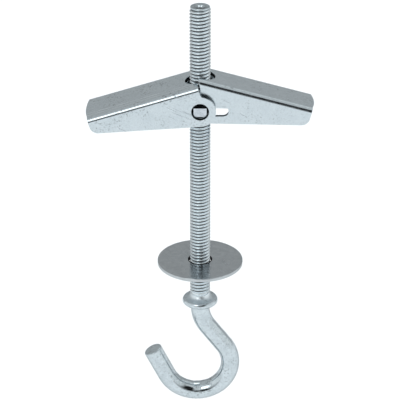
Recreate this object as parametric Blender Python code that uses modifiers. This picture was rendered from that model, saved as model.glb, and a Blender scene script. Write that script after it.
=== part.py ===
"""Spring toggle anchor with a round hook, for hollow walls and ceilings, thread M6.

A hook bolt carries a loose washer and a toggle. The toggle is a trunnion nut with two sheet-steel
wings hinged on its tabs: the narrow wing nests inside the wide one, and a torsion spring inside
opens both. The hook hangs below the washer, and the wings are open on their stop.

Frame: +Z runs up the bolt, away from the hook. +X points to the tip of the inner wing, and +Y is
the hinge axis. The origin is on the bolt's axis, in the plane of the washer's upper face.
"""

import math
from typing import NamedTuple

import bmesh
import bpy
from mathutils import Matrix, Vector

# Driving dimensions, in metres and radians.
THREAD_CREST_R = 0.00297
THREAD_ROOT_R = 0.00246
THREAD_PITCH = 0.001
THREAD_STEPS = 12
BOLT_TOP = 0.0791
BOLT_END_R = 0.00275
BOLT_END_CHAMFER = 0.0003
BOLT_END_LENGTH = 0.0008
BOLT_CORE_R = 0.0020
THREAD_BOTTOM = -0.0102

COLLAR_NECK_R = 0.0026
COLLAR_NECK_BOTTOM = -0.0106
COLLAR_FILLET_R = 0.0020
COLLAR_FILLET_SWEEP = math.radians(78.0)
COLLAR_RIM_R = 0.0010
COLLAR_R = 0.0052
COLLAR_UNDERSIDE_DROP = 0.0008

WIRE_R = 0.00274
NECK_START = -0.0157
NECK_BEND_R = 0.0115
BOWL_X = -0.00103
BOWL_Z = -0.0350
BOWL_R = 0.0101
TIP_LEAN = math.radians(26.0)
TIP_LENGTH = 0.0096

WASHER_R = 0.0125
WASHER_HOLE_R = 0.0032
WASHER_HOLE_EDGE = 0.0003
WASHER_THICKNESS = 0.0010
WASHER_EDGE = 0.00015

SHEET = 0.0012
BEND_R = 0.0015
PIVOT_Z = 0.05045
PIVOT_HOLE_R = 0.0025
ROD_NOTCH_R = 0.0043
ROD_NOTCH_HALF_LENGTH = 0.0035
TIP_BULGE = 0.0006
TRIM = 0.002


class WingShape(NamedTuple):
    """One wing's sizes. Heights are above the pivot, and the end is the one past the pivot."""

    length: float
    half_width: float
    web: float
    droop: float
    taper: float
    ear_r: float
    corner_r: float
    end_top: float
    end_low: float
    end_depth: float
    ear_fillet: float


OUTER = WingShape(
    length=0.0310,
    half_width=0.00765,
    web=0.00725,
    droop=math.radians(17.06),
    taper=math.radians(13.08),
    ear_r=0.00445,
    corner_r=0.0024,
    end_top=-0.0015,
    end_low=-0.0015,
    end_depth=0.0020,
    ear_fillet=0.0009,
)
INNER = WingShape(
    length=0.03048,
    half_width=0.0060,
    web=0.00855,
    droop=math.radians(15.33),
    taper=math.radians(14.03),
    ear_r=0.0041,
    corner_r=0.0024,
    end_top=-0.00285,
    end_low=-0.00145,
    end_depth=0.0029,
    ear_fillet=0.0006,
)

SLOT_HALF_HEIGHT = 0.00155
SLOT_END = 0.0080
SLOT_DROP = 0.00045

NUT_BORE_R = 0.00308
NUT_R = 0.0040
NUT_HALF_LENGTH = 0.00335
STUB_R = 0.0027
STUB_HALF_LENGTH = 0.0046
TAB_HALF_LENGTH = 0.0070
TAB_HALF_WIDTH = 0.00185
TAB_TOP = 0.00085
TAB_BOTTOM = -0.0017
TAB_CORNER_R = 0.0010

SPRING_WIRE_R = 0.00019
SPRING_COIL_R = 0.00305
SPRING_TURNS = 2
SPRING_TURN_STEPS = 14
SPRING_INNER_Y = 0.00366
SPRING_OUTER_Y = 0.00450
SPRING_LEG_X = 0.0120
SPRING_LEG_Z = 0.00395
SPRING_BRIDGE_X = -0.0100
SPRING_BRIDGE_Z = 0.0029
SPRING_CORNER_R = 0.0009

ZINC_COLOUR = (0.66, 0.70, 0.74, 1.0)
WASHER_COLOUR = (0.58, 0.61, 0.64, 1.0)
NUT_COLOUR = (0.60, 0.63, 0.66, 1.0)
SPRING_COLOUR = (0.42, 0.43, 0.45, 1.0)


def clear_scene():
    for obj in list(bpy.data.objects):
        bpy.data.objects.remove(obj)


def new_collection(name):
    collection = bpy.data.collections.new(name)
    bpy.context.scene.collection.children.link(collection)
    return collection


def metal(name, colour, roughness):
    material = bpy.data.materials.new(name)
    material.use_nodes = True
    shader = material.node_tree.nodes["Principled BSDF"]
    shader.inputs["Base Color"].default_value = colour
    shader.inputs["Metallic"].default_value = 1.0
    shader.inputs["Roughness"].default_value = roughness
    return material


def add_object(name, data, collection):
    obj = bpy.data.objects.new(name, data)
    collection.objects.link(obj)
    return obj


def finish_part(obj, name, material):
    """Names a part, gives it its material, and shades its round faces smooth."""
    obj.name = name
    obj.data.name = name
    obj.data.materials.clear()
    obj.data.materials.append(material)
    obj.data.shade_smooth()
    obj.data.set_sharp_from_angle(angle=math.radians(35.0))
    return obj


def arc(x, y, radius, start, end, steps):
    """Points of an arc about (x, y), from one angle to another, both ends included."""
    points = []
    for i in range(steps + 1):
        angle = start + (end - start) * i / steps
        points.append((x + radius * math.cos(angle), y + radius * math.sin(angle)))
    return points


def to_mesh(obj):
    """Turns a curve object into a welded, closed mesh object in the same place."""
    depsgraph = bpy.context.evaluated_depsgraph_get()
    mesh = bpy.data.meshes.new_from_object(obj.evaluated_get(depsgraph))
    body = bmesh.new()
    body.from_mesh(mesh)
    bmesh.ops.remove_doubles(body, verts=body.verts, dist=1e-6)
    bmesh.ops.recalc_face_normals(body, faces=body.faces)
    body.to_mesh(mesh)
    body.free()
    solid = add_object("solid", mesh, obj.users_collection[0])
    solid.matrix_world = obj.matrix_world
    name = obj.name
    curve = obj.data
    bpy.data.objects.remove(obj)
    bpy.data.curves.remove(curve)
    solid.name = name
    return solid


def prism(name, outline, half_depth, matrix, collection):
    """A flat outline, thickened evenly to both sides of its plane."""
    curve = bpy.data.curves.new(name, "CURVE")
    curve.dimensions = "2D"
    curve.fill_mode = "BOTH"
    curve.extrude = half_depth
    spline = curve.splines.new("POLY")
    spline.points.add(len(outline) - 1)
    for point, (x, y) in zip(spline.points, outline):
        point.co = (x, y, 0.0, 1.0)
    spline.use_cyclic_u = True
    obj = add_object(name, curve, collection)
    obj.matrix_world = matrix
    bpy.context.view_layer.update()
    return to_mesh(obj)


def round_wire(name, route, radius, collection, resolution):
    """A round wire along a route of points, closed at both ends."""
    curve = bpy.data.curves.new(name, "CURVE")
    curve.dimensions = "3D"
    curve.bevel_depth = radius
    curve.bevel_resolution = resolution
    curve.use_fill_caps = True
    spline = curve.splines.new("POLY")
    spline.points.add(len(route) - 1)
    for point, place in zip(spline.points, route):
        point.co = (*place, 1.0)
    obj = add_object(name, curve, collection)
    bpy.context.view_layer.update()
    return to_mesh(obj)


def turned(name, profile, steps, collection, closed=False):
    """A profile of (radius, height) points, top to bottom on its outer side, turned about Z."""
    mesh = bpy.data.meshes.new(name)
    edges = [(i, i + 1) for i in range(len(profile) - 1)]
    if closed:
        edges.append((len(profile) - 1, 0))
    mesh.from_pydata([(r, 0.0, z) for r, z in profile], edges, [])
    obj = add_object(name, mesh, collection)
    screw = obj.modifiers.new("turn", "SCREW")
    screw.steps = steps
    screw.render_steps = steps
    screw.use_merge_vertices = True
    screw.merge_threshold = 1e-5
    return obj


def cylinder(name, radius, half_length, matrix, collection, segments=40):
    mesh = bpy.data.meshes.new(name)
    body = bmesh.new()
    bmesh.ops.create_cone(
        body,
        cap_ends=True,
        segments=segments,
        radius1=radius,
        radius2=radius,
        depth=2.0 * half_length,
    )
    body.to_mesh(mesh)
    body.free()
    obj = add_object(name, mesh, collection)
    obj.matrix_world = matrix
    return obj


def as_cutter(obj):
    obj.hide_render = True
    obj.display_type = "WIRE"
    return obj


def combine(obj, other, operation):
    """Adds a Boolean modifier that joins another solid to this one, or cuts this one with it."""
    as_cutter(other)
    boolean = obj.modifiers.new(operation.lower(), "BOOLEAN")
    boolean.operation = operation
    boolean.object = other
    boolean.solver = "EXACT"


def along_x(origin):
    """The placing of an outline drawn in Y and Z, with its depth along X."""
    axes = Matrix(((0, 0, 1), (1, 0, 0), (0, 1, 0)))
    return Matrix.Translation(origin) @ axes.to_4x4()


def along_y(origin):
    """The placing of an outline drawn in X and Z, with its depth along Y."""
    return Matrix.Translation(origin) @ Matrix.Rotation(math.radians(90.0), 4, "X")


# Hook bolt


def thread_radius(height):
    """How full the thread is at a height: it runs out over one pitch at each end."""
    from_bottom = (height - THREAD_BOTTOM) / THREAD_PITCH
    from_top = (BOLT_TOP - BOLT_END_LENGTH - height) / (0.5 * THREAD_PITCH)
    fullness = max(0.0, min(1.0, from_bottom, from_top))
    return THREAD_ROOT_R + (THREAD_CREST_R - THREAD_ROOT_R) * fullness


def threaded_rod(collection):
    """One tooth of the thread, spun up the bolt and closed with a flat face at each end."""
    top = BOLT_TOP - BOLT_END_LENGTH
    turns = round((top - THREAD_BOTTOM) / THREAD_PITCH) + 2
    body = bmesh.new()
    tooth = []
    for radius, height in (
        (THREAD_ROOT_R, 0.0),
        (THREAD_CREST_R, 0.5 * THREAD_PITCH),
        (THREAD_ROOT_R, THREAD_PITCH),
    ):
        tooth.append(body.verts.new((radius, 0.0, THREAD_BOTTOM - THREAD_PITCH + height)))
    edges = [body.edges.new((tooth[0], tooth[1])), body.edges.new((tooth[1], tooth[2]))]
    bmesh.ops.spin(
        body,
        geom=tooth + edges,
        cent=(0.0, 0.0, 0.0),
        axis=(0.0, 0.0, 1.0),
        dvec=(0.0, 0.0, THREAD_PITCH / THREAD_STEPS),
        angle=2.0 * math.pi * turns,
        steps=THREAD_STEPS * turns,
    )
    for vert in body.verts:
        radius = math.hypot(vert.co.x, vert.co.y)
        height = max(THREAD_BOTTOM, min(top, vert.co.z))
        wanted = min(radius, thread_radius(height))
        vert.co = (vert.co.x * wanted / radius, vert.co.y * wanted / radius, height)
    bmesh.ops.remove_doubles(body, verts=body.verts, dist=1e-6)
    bmesh.ops.dissolve_degenerate(body, edges=body.edges, dist=1e-6)
    rims = [edge for edge in body.edges if edge.is_boundary]
    bmesh.ops.holes_fill(body, edges=rims, sides=0)
    bmesh.ops.recalc_face_normals(body, faces=body.faces)
    mesh = bpy.data.meshes.new("threaded_rod")
    body.to_mesh(mesh)
    body.free()
    return add_object("threaded_rod", mesh, collection)


def bolt_end(cutters):
    """The plain, slightly chamfered end above the thread."""
    bottom = BOLT_TOP - 2.0 * BOLT_END_LENGTH
    profile = [
        (0.0, BOLT_TOP),
        (BOLT_END_R - BOLT_END_CHAMFER, BOLT_TOP),
        (BOLT_END_R, BOLT_TOP - BOLT_END_CHAMFER),
        (BOLT_END_R, BOLT_TOP - BOLT_END_LENGTH - BOLT_END_CHAMFER),
        (BOLT_CORE_R, bottom),
        (0.0, bottom),
    ]
    return turned("bolt_end", profile, 24, cutters)


def collar(cutters):
    """The forged collar: a concave fillet spreading to a thin flange with a round rim."""
    fillet_x = COLLAR_NECK_R + COLLAR_FILLET_R
    fillet = []
    for r, z in arc(
        fillet_x,
        COLLAR_NECK_BOTTOM,
        COLLAR_FILLET_R,
        math.pi,
        math.pi + COLLAR_FILLET_SWEEP,
        6,
    ):
        fillet.append((r, z))
    rim_r = COLLAR_R - COLLAR_RIM_R
    rim_z = fillet[-1][1] - COLLAR_RIM_R
    rim = arc(rim_r, rim_z, COLLAR_RIM_R, math.radians(80.0), math.radians(-90.0), 7)
    underside = rim_z - COLLAR_RIM_R
    profile = [(0.0, THREAD_BOTTOM + THREAD_PITCH), (THREAD_ROOT_R, THREAD_BOTTOM + THREAD_PITCH)]
    profile += fillet + rim
    profile += [
        (WIRE_R + 0.5 * COLLAR_UNDERSIDE_DROP, underside - 0.2 * COLLAR_UNDERSIDE_DROP),
        (0.98 * WIRE_R, underside - COLLAR_UNDERSIDE_DROP),
        (0.0, underside - COLLAR_UNDERSIDE_DROP),
    ]
    return turned("collar", profile, 32, cutters)


def hook_route():
    """The hook's centre line: straight neck, an S to the bowl, round the bowl, and a straight tip."""
    neck = Vector((NECK_BEND_R, NECK_START))
    bowl = Vector((BOWL_X, BOWL_Z))
    between = bowl - neck
    slant = math.atan2(between.y, between.x)
    lean = math.acos((NECK_BEND_R + BOWL_R) / between.length)
    leave_neck = 2.0 * math.pi + slant - lean
    join_bowl = leave_neck - math.pi
    leave_bowl = TIP_LEAN - math.pi
    route = [(0.0, COLLAR_NECK_BOTTOM - 0.5 * COLLAR_FILLET_R)]
    route += arc(neck.x, neck.y, NECK_BEND_R, math.pi, leave_neck, 5)
    route += arc(bowl.x, bowl.y, BOWL_R, join_bowl, leave_bowl, 22)
    tip = Vector(route[-1]) + TIP_LENGTH * Vector((-math.sin(TIP_LEAN), math.cos(TIP_LEAN)))
    route.append(tuple(tip))
    return [(x, 0.0, z) for x, z in route]


def hook_bolt(parts, cutters):
    rod = threaded_rod(parts)
    combine(rod, bolt_end(cutters), "UNION")
    combine(rod, collar(cutters), "UNION")
    wire = round_wire("hook_wire", hook_route(), WIRE_R, cutters, 4)
    combine(rod, wire, "UNION")
    return finish_part(rod, "hook_bolt", metal("zinc_bolt", ZINC_COLOUR, 0.30))


# Washer


def washer(parts):
    inner = WASHER_HOLE_R
    edge = WASHER_EDGE
    low = -WASHER_THICKNESS
    profile = [
        (inner + WASHER_HOLE_EDGE, 0.0),
        (WASHER_R - edge, 0.0),
        (WASHER_R, -edge),
        (WASHER_R, low + edge),
        (WASHER_R - edge, low),
        (inner + edge, low),
        (inner, low + edge),
        (inner, -WASHER_HOLE_EDGE),
    ]
    ring = turned("washer", profile, 48, parts, closed=True)
    return finish_part(ring, "washer", metal("zinc_washer", WASHER_COLOUR, 0.34))


# Wings


def channel_section(half_width, web):
    """The wing's cross-section in Y and Z: a web on top, two side plates, and a bend at each edge."""
    bend_y = half_width - BEND_R
    bend_z = web - BEND_R
    inside_r = BEND_R - SHEET
    low = -2.0 * web
    outside = arc(-bend_y, bend_z, BEND_R, math.pi, 0.5 * math.pi, 4)
    outside += arc(bend_y, bend_z, BEND_R, 0.5 * math.pi, 0.0, 4)
    inside = arc(bend_y, bend_z, inside_r, 0.0, 0.5 * math.pi, 3)
    inside += arc(-bend_y, bend_z, inside_r, 0.5 * math.pi, math.pi, 3)
    section = [(-half_width, low)] + outside + [(half_width, low)]
    section += [(half_width - SHEET, low)] + inside + [(SHEET - half_width, low)]
    return section


def side_outline(shape):
    """The wing's outline in X and Z about the pivot: ear, tapering lower edge, round lower tip
    corner, web, and the end that meets the other wing's web."""
    down = Vector((math.sin(shape.taper), -math.cos(shape.taper)))
    along = Vector((math.cos(shape.taper), math.sin(shape.taper)))
    drop = shape.ear_r - shape.corner_r
    corner_x = shape.length - shape.corner_r
    corner = drop * down + (corner_x - drop * down.x) / along.x * along
    fillet_x = shape.end_low - shape.ear_fillet
    fillet_z = math.sqrt((shape.ear_r + shape.ear_fillet) ** 2 - fillet_x**2)
    ear_start = math.atan2(fillet_z, fillet_x)
    ear_end = shape.taper + 1.5 * math.pi
    outline = [
        (shape.end_top, shape.web + TRIM),
        (shape.end_top, shape.web),
        (shape.end_low, shape.web - shape.end_depth),
    ]
    outline += arc(fillet_x, fillet_z, shape.ear_fillet, 0.0, ear_start - math.pi, 4)
    outline += arc(0.0, 0.0, shape.ear_r, ear_start, ear_end, 16)[1:]
    outline += arc(corner.x, corner.y, shape.corner_r, shape.taper - 0.5 * math.pi, 0.0, 6)
    outline += [(shape.length + TRIM, corner.y), (shape.length + TRIM, shape.web + TRIM)]
    return outline


def plan_outline(shape):
    """The wing's outline in X and Y: parallel sides and a tip that bulges across the web."""
    side = shape.half_width + TRIM
    flat = shape.half_width - BEND_R
    radius = (flat**2 + TIP_BULGE**2) / (2.0 * TIP_BULGE)
    half_angle = math.asin(flat / radius)
    centre = shape.length + TIP_BULGE - radius
    outline = [(-2.0 * shape.web, side), (-2.0 * shape.web, -side), (shape.length, -side)]
    outline += arc(centre, 0.0, radius, -half_angle, half_angle, 8)
    outline.append((shape.length, side))
    return outline


def wing(name, shape, placing, parts, cutters):
    """A folded channel, trimmed to its side and plan outlines, and bored for tab and bolt."""
    section = channel_section(shape.half_width, shape.web)
    middle = (0.5 * shape.length, 0.0, 0.0)
    body = prism(name, section, shape.length, along_x(middle), parts)
    body.data.transform(body.matrix_world)
    body.matrix_world = placing
    across = along_y((0.0, 0.0, 0.0))
    side = prism(name + "_side", side_outline(shape), 2.0 * shape.half_width, across, cutters)
    side.matrix_world = placing @ side.matrix_world
    plan = prism(name + "_plan", plan_outline(shape), 3.0 * shape.web, Matrix(), cutters)
    plan.matrix_world = placing
    pivot = along_y((0.0, 0.0, PIVOT_Z))
    hole = cylinder(name + "_hole", PIVOT_HOLE_R, 2.0 * shape.half_width, pivot, cutters)
    above = Matrix.Translation((0.0, 0.0, PIVOT_Z + shape.web))
    notch = cylinder(name + "_notch", ROD_NOTCH_R, ROD_NOTCH_HALF_LENGTH, above, cutters, 32)
    combine(body, side, "INTERSECT")
    combine(body, plan, "INTERSECT")
    combine(body, hole, "DIFFERENCE")
    combine(body, notch, "DIFFERENCE")
    return body


def outer_wing(parts, cutters):
    placing = Matrix.Translation((0.0, 0.0, PIVOT_Z))
    placing = placing @ Matrix.Rotation(-OUTER.droop, 4, "Y") @ Matrix.Rotation(math.pi, 4, "Z")
    body = wing("outer_wing", OUTER, placing, parts, cutters)
    return finish_part(body, "outer_wing", metal("zinc_outer_wing", ZINC_COLOUR, 0.26))


def slot_outline():
    """The slot beside the inner wing's pivot hole, level when the wing is open."""
    end = arc(
        SLOT_END - SLOT_HALF_HEIGHT,
        -SLOT_DROP,
        SLOT_HALF_HEIGHT,
        -0.5 * math.pi,
        0.5 * math.pi,
        10,
    )
    return [(0.0, -SLOT_DROP - SLOT_HALF_HEIGHT)] + end + [(0.0, SLOT_HALF_HEIGHT - SLOT_DROP)]


def inner_wing(parts, cutters):
    placing = Matrix.Translation((0.0, 0.0, PIVOT_Z)) @ Matrix.Rotation(INNER.droop, 4, "Y")
    body = wing("inner_wing", INNER, placing, parts, cutters)
    level = along_y((0.0, 0.0, PIVOT_Z))
    slot = prism("inner_wing_slot", slot_outline(), 2.0 * INNER.half_width, level, cutters)
    combine(body, slot, "DIFFERENCE")
    return finish_part(body, "inner_wing", metal("zinc_inner_wing", ZINC_COLOUR, 0.26))


# Nut and spring


def tab_outline():
    """The tab's section in X and Z: flat on top, with round lower corners to suit the hole."""
    corner_x = TAB_HALF_WIDTH - TAB_CORNER_R
    corner_z = TAB_BOTTOM + TAB_CORNER_R
    outline = arc(-corner_x, corner_z, TAB_CORNER_R, math.pi, 1.5 * math.pi, 5)
    outline += arc(corner_x, corner_z, TAB_CORNER_R, -0.5 * math.pi, 0.0, 5)
    outline += [(TAB_HALF_WIDTH, TAB_TOP), (-TAB_HALF_WIDTH, TAB_TOP)]
    return outline


def trunnion_nut(parts, cutters):
    """A cross barrel bored for the bolt, with a stub for the spring and a tab at each end."""
    pivot = Matrix.Translation((0.0, 0.0, PIVOT_Z))
    across = along_y((0.0, 0.0, PIVOT_Z))
    barrel = cylinder("trunnion_nut", NUT_R, NUT_HALF_LENGTH, across, parts)
    stub = cylinder("nut_stub", STUB_R, STUB_HALF_LENGTH, across, cutters, 32)
    tab = prism("nut_tab", tab_outline(), TAB_HALF_LENGTH, across, cutters)
    bore = cylinder("nut_bore", NUT_BORE_R, 2.0 * NUT_R, pivot, cutters)
    combine(barrel, stub, "UNION")
    combine(barrel, tab, "UNION")
    combine(barrel, bore, "DIFFERENCE")
    return finish_part(barrel, "trunnion_nut", metal("zinc_nut", NUT_COLOUR, 0.38))


def tangent_angle(x, z, side):
    """Where a straight leg from (x, z) touches the coil, on its upper side."""
    return math.atan2(z, x) + side * math.acos(SPRING_COIL_R / math.hypot(x, z))


def spring_half():
    """One side of the spring, from the end of its leg, round its coil, to the middle of the bridge."""
    start = tangent_angle(SPRING_LEG_X, SPRING_LEG_Z, 1.0)
    end = tangent_angle(SPRING_BRIDGE_X, SPRING_BRIDGE_Z, -1.0) + SPRING_TURNS * 2.0 * math.pi
    steps = SPRING_TURNS * SPRING_TURN_STEPS
    coil = arc(0.0, 0.0, SPRING_COIL_R, start, end, steps)
    route = [(SPRING_LEG_X, SPRING_OUTER_Y, SPRING_LEG_Z)]
    for i, (x, z) in enumerate(coil):
        y = SPRING_OUTER_Y + (SPRING_INNER_Y - SPRING_OUTER_Y) * i / steps
        route.append((x, y, z))
    corner = arc(
        SPRING_BRIDGE_X + SPRING_CORNER_R,
        SPRING_INNER_Y - SPRING_CORNER_R,
        SPRING_CORNER_R,
        0.5 * math.pi,
        math.pi,
        4,
    )
    route += [(x, y, SPRING_BRIDGE_Z) for x, y in corner]
    return route


def torsion_spring(parts):
    """A coil round each stub, legs under the inner wing's web, a bridge under the outer wing's."""
    half = spring_half()
    route = half + [(x, -y, z) for x, y, z in reversed(half)]
    route = [(x, y, z + PIVOT_Z) for x, y, z in route]
    wire = round_wire("torsion_spring", route, SPRING_WIRE_R, parts, 2)
    return finish_part(wire, "torsion_spring", metal("spring_steel", SPRING_COLOUR, 0.30))


def main():
    clear_scene()
    parts = new_collection("wall_anchor")
    cutters = new_collection("cutters")
    hook_bolt(parts, cutters)
    washer(parts)
    outer_wing(parts, cutters)
    inner_wing(parts, cutters)
    trunnion_nut(parts, cutters)
    torsion_spring(parts)


main()
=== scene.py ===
"""Looks of the spring toggle anchor: fine zinc-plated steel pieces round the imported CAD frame."""

import math

import bmesh
import bpy
import numpy as np
from mathutils import Matrix, Vector


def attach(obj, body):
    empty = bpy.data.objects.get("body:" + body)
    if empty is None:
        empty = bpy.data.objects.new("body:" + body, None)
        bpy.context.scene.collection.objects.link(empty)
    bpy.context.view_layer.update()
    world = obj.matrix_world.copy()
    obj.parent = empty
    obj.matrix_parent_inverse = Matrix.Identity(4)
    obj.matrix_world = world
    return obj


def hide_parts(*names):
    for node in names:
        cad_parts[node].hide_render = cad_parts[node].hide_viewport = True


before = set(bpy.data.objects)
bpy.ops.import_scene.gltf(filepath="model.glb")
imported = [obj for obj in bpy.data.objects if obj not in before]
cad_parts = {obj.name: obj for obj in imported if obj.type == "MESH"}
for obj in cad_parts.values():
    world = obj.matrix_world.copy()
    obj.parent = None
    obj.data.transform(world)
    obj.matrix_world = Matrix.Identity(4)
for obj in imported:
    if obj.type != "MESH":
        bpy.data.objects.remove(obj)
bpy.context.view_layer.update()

# Sizes in metres and angles in radians, the same as the CAD model's.
THREAD_CREST_R = 0.00297
THREAD_ROOT_R = 0.00246
THREAD_PITCH = 0.001
BOLT_TOP = 0.0791
BOLT_END_R = 0.00275
BOLT_END_LENGTH = 0.0004
BOLT_END_ROUND_R = 0.00030
BOLT_END_OVERLAP = 0.0003
THREAD_BOTTOM = -0.0102
# The thread's lowest turn, which runs out inside the collar's fillet.
THREAD_LOW = -0.0123
COLLAR_NECK_R = 0.0026
COLLAR_NECK_BOTTOM = -0.0106
COLLAR_FILLET_R = 0.0020
COLLAR_FILLET_SWEEP = math.radians(78.0)
COLLAR_RIM_R = 0.0010
COLLAR_R = 0.0052
COLLAR_RIM_START = math.radians(80.0)
COLLAR_UNDERSIDE_DROP = 0.0008
COLLAR_UNDERSIDE_WIDTH = 0.0012
COLLAR_UNDERSIDE_DIP = 0.00002
UNDER_COLLAR_ROUND_X = 0.0006
UNDER_COLLAR_ROUND_Z = 0.0007
WIRE_R = 0.00274
NECK_START = -0.0157
NECK_BEND_R = 0.0115
BOWL_X = -0.00103
BOWL_Z = -0.0350
BOWL_R = 0.0101
TIP_LEAN = math.radians(26.0)
TIP_LENGTH = 0.0096
TIP_EDGE_R = 0.0003
WASHER_R = 0.0125
WASHER_HOLE_R = 0.0032
WASHER_THICKNESS = 0.0010
WASHER_EDGE_R = 0.00016
WASHER_HOLE_ROLL_R = 0.00005
SHEET = 0.0012
BEND_R = 0.0015
PIVOT_Z = 0.05045
PIVOT_HOLE_R = 0.0025
ROD_NOTCH_R = 0.0043
NOTCH_HALF_DEPTH = 0.0035
TIP_BULGE = 0.0006
WING_EDGE = 0.00012
# How far the cutters reach past the metal they trim.
TRIM = 0.002
OUTER = dict(
    length=0.0310, half_width=0.00765, web=0.00725, droop=math.radians(17.06),
    taper=math.radians(13.08), ear_r=0.00445, corner_r=0.0024, end_top=-0.0015,
    end_low=-0.0015, end_depth=0.0020, ear_fillet=0.0009,
)
INNER = dict(
    length=0.03048, half_width=0.0060, web=0.00855, droop=math.radians(15.33),
    taper=math.radians(14.03), ear_r=0.0041, corner_r=0.0024, end_top=-0.00285,
    end_low=-0.00145, end_depth=0.0029, ear_fillet=0.0006,
)
SLOT_HALF_HEIGHT = 0.00155
SLOT_END = 0.0080
SLOT_DROP = 0.00045
NUT_BORE_R = 0.00308
NUT_R = 0.0040
NUT_HALF_LENGTH = 0.00335
STUB_R = 0.0027
STUB_HALF_LENGTH = 0.0046
TAB_HALF_LENGTH = 0.0070
TAB_HALF_WIDTH = 0.00185
TAB_TOP = 0.00085
TAB_BOTTOM = -0.0017
TAB_CORNER_R = 0.0010
NUT_EDGE = 0.00015
SPRING_WIRE_R = 0.00019
SPRING_COIL_R = 0.00305
SPRING_TURNS = 2
SPRING_INNER_Y = 0.00366
SPRING_OUTER_Y = 0.00450
SPRING_LEG_X = 0.0120
SPRING_LEG_Z = 0.00395
SPRING_BRIDGE_X = -0.0100
SPRING_BRIDGE_Z = 0.0029
SPRING_CORNER_R = 0.0009
SPRING_SIDES = 14


# Materials

# Colours of the painted shade, of the plating's dark specks, of its pits and of the painted
# highlight on the thread's flanks.
PAINTED_SHADE_COLOUR = (0.02, 0.021, 0.022)
MOTTLE = (0.33, 0.36, 0.38)
PIT = (0.20, 0.22, 0.23)
PAINTED_HIGHLIGHT_COLOUR = (0.77, 0.83, 0.86)
# Sizes of the plating's detail in metres.
CLOUD_SIZE = 0.0022
SPECK_SIZE = 0.00055
RIPPLE_SIZE = 0.0034
GRAIN_SIZE = 0.00030
SCRATCH_SIZE = 0.0009
SCRATCH_PATCH_SIZE = 0.0055
PIT_SIZE = 0.00060
PIT_PATCH_SIZE = 0.0060
# The scratches' turn about each axis, and how much longer they are than wide.
SCRATCH_TURN = (0.0, 0.5, 0.35)
SCRATCH_STRETCH = (9.0, 9.0, 0.55)
# How much rougher scratches, the painted shade and the collar's fillet are than clean plating.
SCRATCH_ROUGHNESS = 0.18
PAINTED_SHADE_ROUGHNESS = 0.6
SATIN_ROUGHNESS = 0.22
# From and to: the places where the painted shade fades.
NUT_SHADE_Y = (0.0050, 0.0058)
HUB_SHADE_R = (0.0050, 0.0065)
HUB_SHADE_Y = (0.0045, 0.0048)
HUB_SHADE_UNDER_WEB = (0.0003, 0.0001)
WASHER_SHADE_WIDTH = (0.00034, 0.00046)
ROOT_SHADE_HEIGHT = (0.00002, 0.00018)
# The thread's painted shade and painted highlight stop from here up, measured from the bolt's top.
UNPAINTED_END = (0.0006, 0.0004)
# Distance from the web's middle, half width and strength of the painted highlight lines on the
# outer wing's web.
HIGHLIGHT_LINES = ((0.0052, 0.00030, 1.0), (0.0038, 0.00035, 0.8))
HIGHLIGHT_LINE_CORE = 0.00010


class Graph:
    """Short names for the nodes of one material."""

    def __init__(self, name):
        self.material = bpy.data.materials.new(name)
        self.material.use_nodes = True
        self.tree = self.material.node_tree
        self.shader = self.tree.nodes["Principled BSDF"]
        self.place = self.node("ShaderNodeTexCoord").outputs["Object"]

    def node(self, kind, **values):
        made = self.tree.nodes.new(kind)
        for key, value in values.items():
            setattr(made, key, value)
        return made

    def link(self, source, target):
        self.tree.links.new(source, target)

    def stretched(self, turn, scale):
        """The object's own coordinates, turned and then stretched."""
        node = self.node("ShaderNodeMapping", vector_type="TEXTURE")
        node.inputs["Rotation"].default_value = turn
        node.inputs["Scale"].default_value = scale
        self.link(self.place, node.inputs["Vector"])
        return node.outputs["Vector"]

    def noise(self, size, detail=3.0, rough=0.5, place=None, warp=0.0):
        """Noise whose blobs are about `size` metres across."""
        node = self.node("ShaderNodeTexNoise")
        node.inputs["Scale"].default_value = 1.0 / size
        node.inputs["Detail"].default_value = detail
        node.inputs["Roughness"].default_value = rough
        node.inputs["Distortion"].default_value = warp
        self.link(place or self.place, node.inputs["Vector"])
        return node.outputs["Fac"]

    def remap(self, value, low, high, to_low, to_high):
        """A smooth step from one range to another, held beyond its ends."""
        node = self.node("ShaderNodeMapRange", interpolation_type="SMOOTHSTEP")
        for socket, number in zip(
            ("From Min", "From Max", "To Min", "To Max"), (low, high, to_low, to_high)
        ):
            node.inputs[socket].default_value = number
        self.link(value, node.inputs["Value"])
        return node.outputs["Result"]

    def math(self, operation, a, b=0.0):
        node = self.node("ShaderNodeMath", operation=operation)
        for socket, value in zip(node.inputs, (a, b)):
            if isinstance(value, (int, float)):
                socket.default_value = value
            else:
                self.link(value, socket)
        return node.outputs["Value"]

    def mix(self, factor, a, b):
        """A blend of two colours, each a tuple or a socket."""
        node = self.node("ShaderNodeMix", data_type="RGBA")
        self.link(factor, node.inputs["Factor"])
        colours = [s for s in node.inputs if s.type == "RGBA"]
        for socket, value in zip(colours, (a, b)):
            if isinstance(value, tuple):
                socket.default_value = (*value, 1.0)
            else:
                self.link(value, socket)
        return [s for s in node.outputs if s.type == "RGBA"][0]

    def bump(self, height, depth, normal=None):
        """Relief `depth` metres deep."""
        node = self.node("ShaderNodeBump")
        node.inputs["Strength"].default_value = 1.0
        node.inputs["Distance"].default_value = depth
        self.link(height, node.inputs["Height"])
        if normal is not None:
            self.link(normal, node.inputs["Normal"])
        return node.outputs["Normal"]


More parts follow.
